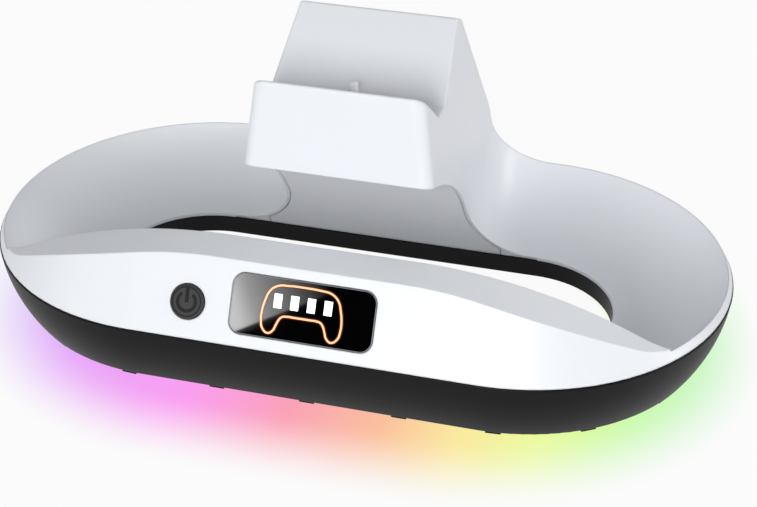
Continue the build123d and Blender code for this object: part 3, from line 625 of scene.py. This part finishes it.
@dataclass
class PowerSymbol:
    """Printed on-off symbol on the power button: a broken ring and a bar, with a dark band of painted
    shade round the face's edge.

    Attributes:
        radius: Radius of the ring's middle, in millimetres.
        line: Width of the line.
        gap: Half angle of the ring's break, in degrees.
        bar: Length of the bar.
        bar_width: Width of the bar.
        bar_top: Height of the bar's top over the middle of the ring.
        painted_shade_band: Radius of the dark band of painted shade round the face's edge.
        painted_shade_band_width: Width of that band.
        lift: Thickness of the ink.
        steps: Segments of a ring.
    """

    radius: float = 2.1
    line: float = 0.78
    gap: float = 36.0
    bar: float = 3.3
    bar_width: float = 0.858
    bar_top: float = 3.114
    painted_shade_band: float = 3.32
    painted_shade_band_width: float = 0.36
    lift: float = 0.03
    steps: int = 48

    def ring(self, mesh: bmesh.types.BMesh, radius: float, line: float, gap: float) -> None:
        """Draw a flat ring, broken at its top where it has a gap.

        Args:
            mesh: The bmesh to draw into, in millimetres.
            radius: Radius of the ring's middle.
            line: Width of the ring.
            gap: Half angle of the break, in degrees.
        """
        spokes = []
        for step in range(self.steps + (1 if gap else 0)):
            turn = radians(90 + gap + (360 - 2 * gap) * step / self.steps)
            reach = (radius - line / 2, radius + line / 2)
            spokes.append([mesh.verts.new((r * cos(turn), r * sin(turn), 0.0)) for r in reach])
        for first, second in zip(spokes, spokes[1:] if gap else spokes[1:] + spokes[:1]):
            mesh.faces.new((first[0], second[0], second[1], first[1]))

    def build(self) -> bpy.types.Object:
        """Build the piece.

        Returns:
            The symbol as a thin raised print on the button's face, with the band of painted shade round
            its edge.
        """
        face = FrontFace("power_button").matrix
        mesh = bmesh.new()
        self.ring(mesh, self.radius, self.line, self.gap)
        # Dark ink band at the face's edge: painted shade where the rounded edge turns away from the
        # light.
        self.ring(mesh, self.painted_shade_band, self.painted_shade_band_width, 0.0)
        half = self.bar_width / 2
        foot = self.bar_top - self.bar
        corners = ((-half, foot), (half, foot), (half, self.bar_top), (-half, self.bar_top))
        mesh.faces.new([mesh.verts.new((x, y, 0.0)) for x, y in corners])
        bmesh.ops.recalc_face_normals(mesh, faces=mesh.faces)
        raised = bmesh.ops.extrude_face_region(mesh, geom=mesh.faces[:])
        tops = [g for g in raised["geom"] if isinstance(g, bmesh.types.BMVert)]
        bmesh.ops.translate(mesh, verts=tops, vec=(0.0, 0.0, self.lift))
        bmesh.ops.recalc_face_normals(mesh, faces=mesh.faces)
        bmesh.ops.transform(mesh, matrix=face @ Matrix.Scale(MM, 4), verts=mesh.verts)
        piece = piece_from(mesh, "power_symbol", INK_AND_PAINTED_SHADE.build())
        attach(piece, "power_button")
        return piece


def piece_from(mesh: bmesh.types.BMesh, name: str, material: bpy.types.Material) -> bpy.types.Object:
    """Turn a bmesh into a piece at the origin.

    Args:
        mesh: The finished bmesh, in metres; it is freed.
        name: Name of the piece.
        material: Its material.

    Returns:
        The new object, linked to the scene.
    """
    data = bpy.data.meshes.new(name)
    mesh.to_mesh(data)
    mesh.free()
    data.materials.append(material)
    piece = bpy.data.objects.new(name, data)
    bpy.context.scene.collection.objects.link(piece)
    return piece


def press_axis(joint: str) -> Vector:
    """Return the direction in which a joint's piece is pressed.

    Args:
        joint: Name of the joint.

    Returns:
        Unit vector of the joint's axis.
    """
    found = next(j for j in frame["joints"] if j["name"] == joint)
    return Vector(found["axis"]).normalized()


@dataclass
class FrontFace:
    """The front of a solid on the sloped fascia, where flat details are laid.

    Attributes:
        node: Name of the solid.
        width: Its width, in metres.
        height: Its height along the slope.
        matrix: Frame of the face: X to the right, Y up the slope, Z out of it.
    """

    node: str
    width: float = field(init=False)
    height: float = field(init=False)
    matrix: Matrix = field(init=False)

    def __post_init__(self) -> None:
        """Measure the solid along the slope."""
        out = -press_axis("power_button_press")
        right = Vector((1.0, 0.0, 0.0))
        up = out.cross(right)
        points = [v.co for v in frame["nodes"][self.node].data.vertices]
        spans = [[p.dot(axis) for p in points] for axis in (right, up)]
        self.width, self.height = [max(s) - min(s) for s in spans]
        across, along = [(max(s) + min(s)) / 2 for s in spans]
        centre = right * across + up * along + out * max(p.dot(out) for p in points)
        self.matrix = Matrix.Translation(centre) @ Matrix((right, up, out)).transposed().to_4x4()


def new_tree(name: str, sizes: dict[str, str]) -> tuple[bpy.types.NodeTree, Any]:
    """Start a geometry tree with named inputs.

    Args:
        name: Name of the tree.
        sizes: Name of each input to its kind of socket.

    Returns:
        The tree and the node that gives its inputs.
    """
    tree = bpy.data.node_groups.new(name, "GeometryNodeTree")
    for title, kind in sizes.items():
        tree.interface.new_socket(name=title, in_out="INPUT", socket_type="NodeSocket" + kind)
    tree.interface.new_socket(name="Geometry", in_out="OUTPUT", socket_type="NodeSocketGeometry")
    return tree, add_node(tree, "NodeGroupInput")


def end_tree(tree: bpy.types.NodeTree, shape: Any, material: Any) -> None:
    """Close a geometry tree: its instances made real, its material set.

    Args:
        tree: The tree.
        shape: Output socket with the shape.
        material: Output socket with the material.
    """
    real = add_node(tree, "GeometryNodeRealizeInstances", Geometry=shape)
    worn = add_node(
        tree, "GeometryNodeSetMaterial", Geometry=real.outputs["Geometry"], Material=material
    )
    add_node(tree, "NodeGroupOutput", Geometry=worn.outputs["Geometry"])


def grow(name: str, tree: bpy.types.NodeTree, sizes: dict[str, Any], place: Matrix) -> bpy.types.Object:
    """Run a geometry tree once and keep what it makes as a plain mesh.

    Args:
        name: Name of the piece.
        tree: The tree.
        sizes: Value of each of its inputs, by the input's name.
        place: Where the shape goes.

    Returns:
        The new piece, at the origin, with no modifier on it.
    """
    seed = bpy.data.objects.new(name + "_seed", bpy.data.meshes.new(name + "_seed"))
    bpy.context.scene.collection.objects.link(seed)
    modifier = seed.modifiers.new("grown", "NODES")
    modifier.node_group = tree
    for socket in tree.interface.items_tree:
        if socket.in_out == "INPUT":
            modifier[socket.identifier] = sizes[socket.name]
    graph = bpy.context.evaluated_depsgraph_get()
    data = bpy.data.meshes.new_from_object(seed.evaluated_get(graph))
    bpy.data.objects.remove(seed)
    data.transform(place)
    data.name = name
    piece = bpy.data.objects.new(name, data)
    bpy.context.scene.collection.objects.link(piece)
    return piece


@dataclass
class SocketContacts:
    """Gold contact pads in two rows, above and below the tongue of the power inlet.

    Attributes:
        count: Pads in a row.
        rows: Rows of pads.
        pitch: Spacing of the pads, in millimetres.
        width: Width of a pad.
        length: Length of a pad.
        lift: Thickness of a pad.
        tongue: Thickness of the tongue.
        setback: Distance of the pads from the inlet's mouth.
    """

    count: int = 12
    rows: int = 2
    pitch: float = 0.5
    width: float = 0.27
    length: float = 3.2
    lift: float = 0.06
    tongue: float = 0.7
    setback: float = 0.5

    def tree(self) -> bpy.types.NodeTree:
        """Build the geometry tree.

        Returns:
            The tree: one pad on each point of a row, and that row twice.
        """
        kinds = {
            "Count": "Int",
            "Step": "Vector",
            "Rise": "Vector",
            "Pad": "Vector",
            "Material": "Material",
        }
        tree, given = new_tree("contact_rows", kinds)
        pad = add_node(tree, "GeometryNodeMeshCube", Size=given.outputs["Pad"])
        line = add_node(
            tree, "GeometryNodeMeshLine", Count=given.outputs["Count"], Offset=given.outputs["Step"]
        )
        row = add_node(
            tree,
            "GeometryNodeInstanceOnPoints",
            Points=line.outputs["Mesh"],
            Instance=pad.outputs["Mesh"],
        )
        rise = add_node(tree, "GeometryNodeMeshLine", {"Count": self.rows}, Offset=given.outputs["Rise"])
        rows = add_node(
            tree,
            "GeometryNodeInstanceOnPoints",
            Points=rise.outputs["Mesh"],
            Instance=row.outputs["Instances"],
        )
        end_tree(tree, rows.outputs["Instances"], given.outputs["Material"])
        return tree

    def build(self) -> bpy.types.Object:
        """Build the piece.

        Returns:
            The pads, set on the tongue of the inlet.
        """
        low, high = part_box("usb_c_socket")
        corner = Vector((
            (low.x + high.x) / 2 - (self.count - 1) * self.pitch * MM / 2,
            high.y - (self.setback + self.length / 2) * MM,
            (low.z + high.z) / 2 - self.tongue * MM / 2,
        ))
        sizes = {
            "Count": self.count,
            "Step": (self.pitch * MM, 0.0, 0.0),
            "Rise": (0.0, 0.0, self.tongue * MM),
            "Pad": (self.width * MM, self.length * MM, self.lift * MM),
            "Material": GOLD.build(),
        }
        piece = grow("socket_contacts", self.tree(), sizes, Matrix.Translation(corner))
        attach(piece, "base")
        return piece


@dataclass
class LensEdge:
    """Polished edge of the display's lens, a fine bead that follows its outline; its grey colour is a
    painted highlight.

    Attributes:
        corner: Radius of the outline's corners, in millimetres.
        bead: Radius of the bead.
        proud: Height of the bead over the lens.
        steps: Segments of a corner and of the bead.
    """

    corner: float = 2.75
    bead: float = 0.16
    proud: float = 0.05
    steps: int = 10

    def tree(self) -> bpy.types.NodeTree:
        """Build the geometry tree.

        Returns:
            The tree: a rounded rectangle with a round profile along it.
        """
        kinds = {
            "Width": "Float",
            "Height": "Float",
            "Corner": "Float",
            "Bead": "Float",
            "Material": "Material",
        }
        tree, given = new_tree("lens_outline", kinds)
        outline = add_node(
            tree,
            "GeometryNodeCurvePrimitiveQuadrilateral",
            Width=given.outputs["Width"],
            Height=given.outputs["Height"],
        )
        rounded = add_node(
            tree,
            "GeometryNodeFilletCurve",
            {"mode": "POLY", "Count": self.steps},
            Curve=outline.outputs["Curve"],
            Radius=given.outputs["Corner"],
        )
        profile = add_node(
            tree,
            "GeometryNodeCurvePrimitiveCircle",
            {"Resolution": self.steps},
            Radius=given.outputs["Bead"],
        )
        swept = add_node(
            tree,
            "GeometryNodeCurveToMesh",
            Curve=rounded.outputs["Curve"],
            Profile_Curve=profile.outputs["Curve"],
        )
        end_tree(tree, swept.outputs["Mesh"], given.outputs["Material"])
        return tree

    def build(self) -> bpy.types.Object:
        """Build the piece.

        Returns:
            The bead, laid round the lens.
        """
        face = FrontFace("display_lens")
        sizes = {
            "Width": face.width - 2 * self.bead * MM,
            "Height": face.height - 2 * self.bead * MM,
            "Corner": self.corner * MM,
            "Bead": self.bead * MM,
            "Material": LENS_EDGE_PAINTED_HIGHLIGHT.build(),
        }
        sunk = Matrix.Translation((0.0, 0.0, (self.proud - self.bead) * MM))
        piece = grow("lens_edge", self.tree(), sizes, face.matrix @ sunk)
        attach(piece, "base")
        return piece


@dataclass
class IconOutline:
    """Lit outline of a hand controller on the display: what the lens's mask lets through of the guide.

    Attributes:
        half: Right half of the outline, from the top to the notch, in millimetres.
        line: Width of the bright line.
        halo: Width of the band of painted glow along it.
        line_lift: Height of the line over the lens.
        halo_lift: Height of the band of painted glow over the lens.
        sunk: Depth to which both reach into the lens.
        smoothness: Points of the curve between two points of the outline.
    """

    half: tuple[tuple[float, float], ...] = (
        (0.0, 5.45), (3.6, 5.35), (6.3, 4.95), (7.9, 3.6), (8.7, 1.5), (9.15, -0.8),
        (9.15, -2.9), (8.6, -4.8), (7.3, -5.65), (6.2, -5.0), (5.6, -3.6), (5.05, -2.35),
        (4.4, -1.68), (3.5, -1.47), (1.75, -1.45), (0.0, -1.45),
    )
    line: float = 0.44
    halo: float = 0.95
    line_lift: float = 0.05
    halo_lift: float = 0.02
    sunk: float = 0.05
    smoothness: int = 6

    def path(self) -> list[Vector]:
        """Draw the outline.

        Returns:
            The points of the smooth closed outline, in metres on the lens's face.
        """
        left = [(-x, y) for x, y in self.half[-2:0:-1]]
        marks = [Vector((x, y, 0.0)) * MM for x, y in (*self.half, *left)]
        curve = bpy.data.curves.new("icon_path", "CURVE")
        curve.dimensions = "3D"
        curve.resolution_u = self.smoothness
        spline = curve.splines.new("BEZIER")
        spline.bezier_points.add(len(marks) - 1)
        for point, mark in zip(spline.bezier_points, marks):
            point.co = mark
            point.handle_left_type = point.handle_right_type = "AUTO"
        spline.use_cyclic_u = True
        carrier = bpy.data.objects.new("icon_path", curve)
        bpy.context.scene.collection.objects.link(carrier)
        graph = bpy.context.evaluated_depsgraph_get()
        drawn = bpy.data.meshes.new_from_object(carrier.evaluated_get(graph))
        points = [v.co.copy() for v in drawn.vertices]
        bpy.data.objects.remove(carrier)
        return points

    def ribbon(
        self, name: str, width: float, lift: float, material: bpy.types.Material
    ) -> bpy.types.Object:
        """Lay a flat closed band along the outline.

        Args:
            name: Name of the piece.
            width: Width of the band, in millimetres.
            lift: Height of its face over the lens.
            material: Its material.

        Returns:
            The band, riding on the base.
        """
        points = self.path()
        mesh = bmesh.new()
        rings = []
        for index, point in enumerate(points):
            run = (points[(index + 1) % len(points)] - points[index - 1]).normalized()
            side = Vector((-run.y, run.x, 0.0)) * width * MM / 2
            corners = ((side, lift), (-side, lift), (-side, -self.sunk), (side, -self.sunk))
            places = [point + away + Vector((0.0, 0.0, z * MM)) for away, z in corners]
            rings.append([mesh.verts.new(place) for place in places])
        for first, second in zip(rings, rings[1:] + rings[:1]):
            for a in range(len(first)):
                b = (a + 1) % len(first)
                mesh.faces.new((first[a], first[b], second[b], second[a]))
        bmesh.ops.recalc_face_normals(mesh, faces=mesh.faces)
        bmesh.ops.transform(mesh, matrix=FrontFace("display_lens").matrix, verts=mesh.verts)
        piece = piece_from(mesh, name, material)
        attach(piece, "base")
        return piece

    def build(self) -> bpy.types.Object:
        """Build the piece.

        Returns:
            The bright line, after laying the band of painted glow under it.
        """
        # A dim orange band of painted glow, standing in for the halo of light in the smoked lens.
        halo = self.ribbon("icon_painted_halo", self.halo, self.halo_lift, ORANGE_PAINTED_HALO.build())
        log.info("piece %s", halo.name)
        return self.ribbon("icon_line", self.line, self.line_lift, ORANGE_GUIDE.build())


@dataclass
class Softbox:
    """Tilted softbox in a dark frame, which shows only as a reflection in glossy pieces.

    Attributes:
        centre: Middle of the frame, in millimetres.
        half_width: Half width of the frame.
        half_height: Half height of the frame.
        glow: Place across the frame, from 0 at its left to 1 at its right, and the brightness there.
        foot: Point of the frame on the softbox's straight lower edge, from the middle.
        lean: Direction across that edge, towards the lit side.
        softness: Width over which the edge fades.
        fall: Direction in which the cloth gets darker.
        strength: Strength of the brightest part.
    """

    centre: Point = (-254.0, -900.0, 383.0)
    half_width: float = 75.0
    half_height: float = 45.0
    glow: tuple[tuple[float, float], ...] = (
        (0.1, 1.0), (0.14, 0.96), (0.24, 0.55), (0.33, 0.38), (0.54, 0.12), (0.69, 0.0)
    )
    foot: Point = (-43.0, 0.0, -22.0)
    lean: Point = (-0.547, 0.0, 0.837)
    softness: float = 1.5
    fall: Point = (1.0, 0.0, 0.6)
    strength: float = 9.0

    def build(self) -> bpy.types.Object:
        """Build the piece.

        Returns:
            The softbox, kept out of the camera's sight and of the soft light.
        """
        mesh = bmesh.new()
        wide, high = self.half_width * MM, self.half_height * MM
        corners = ((1, -1), (-1, -1), (-1, 1), (1, 1))
        mesh.faces.new([mesh.verts.new((x * wide, 0.0, z * high)) for x, z in corners])
        piece = piece_from(mesh, "softbox", self.finish())
        piece.location = Vector(self.centre) * MM
        for sight in ("camera", "diffuse", "transmission", "volume_scatter", "shadow"):
            setattr(piece, "visible_" + sight, False)
        return piece

    def finish(self) -> bpy.types.Material:
        """Build the material.

        Returns:
            The lit cloth: bright at its left, with one straight lower edge.
        """
        material, tree, _ = blank_material("softbox_cloth")
        place = add_node(tree, "ShaderNodeTexCoord").outputs["Object"]
        along = add_node(
            tree, "ShaderNodeVectorMath", {"operation": "DOT_PRODUCT", 1: self.fall}, i0=place
        )
        span = add_node(
            tree,
            "ShaderNodeMapRange",
            {"From Min": -self.half_width * MM, "From Max": self.half_width * MM},
            Value=along.outputs["Value"],
        )
        ramp = add_node(tree, "ShaderNodeValToRGB", Fac=span.outputs["Result"])
        fill_ramp(ramp, [(at, (light, light, light, 1.0)) for at, light in self.glow])
        from_foot = add_node(
            tree, "ShaderNodeVectorMath", {"operation": "SUBTRACT", 1: Vector(self.foot) * MM}, i0=place
        )
        side = add_node(
            tree,
            "ShaderNodeVectorMath",
            {"operation": "DOT_PRODUCT", 1: self.lean},
            i0=from_foot.outputs["Vector"],
        )
        cut = add_node(
            tree,
            "ShaderNodeMapRange",
            {"From Min": 0.0, "From Max": self.softness * MM},
            Value=side.outputs["Value"],
        )
        lit = add_node(
            tree,
            "ShaderNodeMix",
            {"data_type": "RGBA", 6: linear("#000000")},
            i0=cut.outputs["Result"],
            i7=ramp.outputs["Color"],
        )
        light = add_node(tree, "ShaderNodeEmission", {"Strength": self.strength}, Color=lit.outputs[2])
        tree.links.new(light.outputs["Emission"], tree.nodes["Material Output"].inputs["Surface"])
        return material


@dataclass(frozen=True)
class StudioLamp:
    """Square soft lamp that faces the dock.

    Attributes:
        name: Name of the lamp.
        at: Its place, in millimetres.
        size: Length of its side.
        power: Its power in watts.
    """

    name: str
    at: Point
    size: float
    power: float

    def hang(self, scene: bpy.types.Scene) -> None:
        """Add the lamp to a scene.

        Args:
            scene: The scene to light.
        """
        data = bpy.data.lights.new(self.name, "AREA")
        data.energy = self.power
        data.size = self.size * MM
        lamp = bpy.data.objects.new(self.name, data)
        scene.collection.objects.link(lamp)
        lamp.location = Vector(self.at) * MM
        lamp.rotation_euler = (-lamp.location).to_track_quat("-Z", "Y").to_euler()


STUDIO_LAMPS = (
    StudioLamp("key", (60.0, -860.0, 300.0), 420.0, 5.3),
    StudioLamp("fill", (-650.0, -480.0, 260.0), 400.0, 0.6),
    StudioLamp("side", (850.0, 60.0, 280.0), 350.0, 2.2),
    StudioLamp("back", (150.0, 850.0, 300.0), 450.0, 1.1),
    StudioLamp("top", (-200.0, 250.0, 900.0), 600.0, 0.25),
)


@dataclass
class Studio:
    """Pale floor, soft lights and the camera at the photograph's angle.

    Attributes:
        camera_at: Place of the camera, in millimetres.
        target: Point that the camera looks at.
        focal_px: Focal length in pixels of the photograph.
        sensor: Width of the sensor in millimetres.
        clip_near: Distance from the camera at which things start to show.
        floor_half: Half size of the floor.
        floor_drop: Gap that keeps the floor from showing through the feet.
        floor_white: Share of the floor's look that is its plain white; the rest takes light and shadow.
        floor_colour: Colour of the matt floor under the lamps.
        floor_roughness: Its roughness.
        floor_specular: Level of its mirror share.
        sky_colour: Colour of the even surrounding.
        sky_strength: Its strength.
    """

    camera_at: Point = (104.4, -356.86, 245.59)
    target: Point = (2.13, 9.92, 9.96)
    focal_px: float = 1794.31
    sensor: float = 36.0
    clip_near: float = 10.0
    floor_half: float = 3000.0
    floor_drop: float = 0.05
    floor_white: float = 0.95
    floor_colour: str = "#AEB0B2"
    floor_roughness: float = 0.7
    floor_specular: float = 0.1
    sky_colour: str = "#F4F6FA"
    sky_strength: float = 0.34

    def build(self) -> None:
        """Set up everything that isn't part of the object."""
        scene = bpy.context.scene
        scene.view_settings.view_transform = "Standard"
        self.place_camera(scene)
        self.lay_floor()
        self.light(scene)
        Softbox().build()

    def place_camera(self, scene: bpy.types.Scene) -> None:
        """Add the camera.

        Args:
            scene: The scene to use it in.
        """
        data = bpy.data.cameras.new("camera")
        data.sensor_width = self.sensor
        data.lens = self.focal_px * self.sensor / PHOTO_WIDTH
        data.clip_start = self.clip_near * MM
        camera = bpy.data.objects.new("camera", data)
        scene.collection.objects.link(camera)
        at = Vector(self.camera_at) * MM
        look = Vector(self.target) * MM - at
        camera.location = at
        camera.rotation_euler = look.to_track_quat("-Z", "Y").to_euler()
        scene.camera = camera

    def lay_floor(self) -> None:
        """Add the pale floor with the painted pool of coloured light round the base."""
        mesh = bmesh.new()
        half = self.floor_half * MM
        corners = ((-1, -1), (1, -1), (1, 1), (-1, 1))
        level = -self.floor_drop * MM
        mesh.faces.new([mesh.verts.new((x * half, y * half, level)) for x, y in corners])
        floor = piece_from(mesh, "floor", self.floor_finish())

    def floor_finish(self) -> bpy.types.Material:
        """Build the material.

        Returns:
            The floor's pale matt finish, tinted by the painted pool of coloured light round the base.
        """
        material, tree, shader = blank_material("pale_matt_floor")
        shader.inputs["Roughness"].default_value = self.floor_roughness
        shader.inputs["Specular IOR Level"].default_value = self.floor_specular
        shader.inputs["Base Color"].default_value = linear(self.floor_colour)
        # The floor's white for the camera, with the pool of the lamps' light painted into it.
        lit = add_node(tree, "ShaderNodeEmission", {"Strength": 1.0}, Color=UNDERGLOW.pool(tree))
        path = add_node(tree, "ShaderNodeLightPath")
        seen = add_node(
            tree,
            "ShaderNodeMath",
            {"operation": "MAXIMUM"},
            i0=path.outputs["Is Camera Ray"],
            i1=path.outputs["Is Glossy Ray"],
        )
        through = add_node(
            tree,
            "ShaderNodeMath",
            {"operation": "MAXIMUM"},
            i0=seen.outputs["Value"],
            i1=path.outputs["Is Transmission Ray"],
        )
        share = add_node(
            tree,
            "ShaderNodeMath",
            {"operation": "MULTIPLY", 1: self.floor_white},
            i0=through.outputs["Value"],
        )
        mix = add_node(
            tree,
            "ShaderNodeMixShader",
            i0=share.outputs["Value"],
            i1=shader.outputs["BSDF"],
            i2=lit.outputs["Emission"],
        )
        below = add_node(tree, "ShaderNodeNewGeometry").outputs["Backfacing"]
        clear = add_node(tree, "ShaderNodeBsdfTransparent")
        sheet = add_node(
            tree, "ShaderNodeMixShader", i0=below, i1=mix.outputs["Shader"], i2=clear.outputs["BSDF"]
        )
        tree.links.new(sheet.outputs["Shader"], tree.nodes["Material Output"].inputs["Surface"])
        return material

    def light(self, scene: bpy.types.Scene) -> None:
        """Add the studio lights and an even pale surrounding.

        Args:
            scene: The scene to light.
        """
        world = bpy.data.worlds.new("studio")
        world.use_nodes = True
        back = world.node_tree.nodes["Background"]
        back.inputs["Color"].default_value = linear(self.sky_colour)
        back.inputs["Strength"].default_value = self.sky_strength
        scene.world = world
        for lamp in STUDIO_LAMPS:
            lamp.hang(scene)


def main() -> None:
    """Dress the dock, add its small pieces and set up the studio."""
    logging.basicConfig(level=logging.INFO, format="%(name)s: %(message)s")
    Dressing().dress()
    for maker in (PowerSymbol(), SocketContacts(), LensEdge(), IconOutline()):
        log.info("piece %s", maker.build().name)
    Studio().build()


if __name__ == "__main__":
    main()
